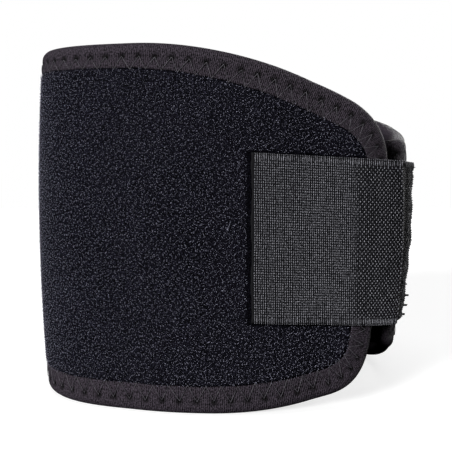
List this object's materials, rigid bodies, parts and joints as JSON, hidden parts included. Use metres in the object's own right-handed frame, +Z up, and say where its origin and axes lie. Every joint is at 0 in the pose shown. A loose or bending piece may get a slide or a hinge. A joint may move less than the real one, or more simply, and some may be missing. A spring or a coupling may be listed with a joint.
{
  "type": "wrist strap",
  "caption": "Contoured black neoprene wrist strap, bound round its edge and closed into a standing ring by a woven hook tab.",
  "frame": {"origin": "middle of the strap's box, on the surface its lower rim stands on", "axes": "+Z up along the wrist, -Y towards the front face, +X towards the side the tab is sewn to"},
  "size_m": [0.0914, 0.0872, 0.08],
  "materials": {
    "loop_neoprene": "brushed loop pile on foam rubber, matt with a faint bluish sheen",
    "binding_tape": "ribbed knitted nylon tape, satin",
    "hook_tape": "woven nylon hook tape, satin"
  },
  "bodies": {
    "root": {"neoprene_band": "loop_neoprene", "edge_binding": "binding_tape", "hook_tab": "hook_tape"}
  },
  "joints": []
}
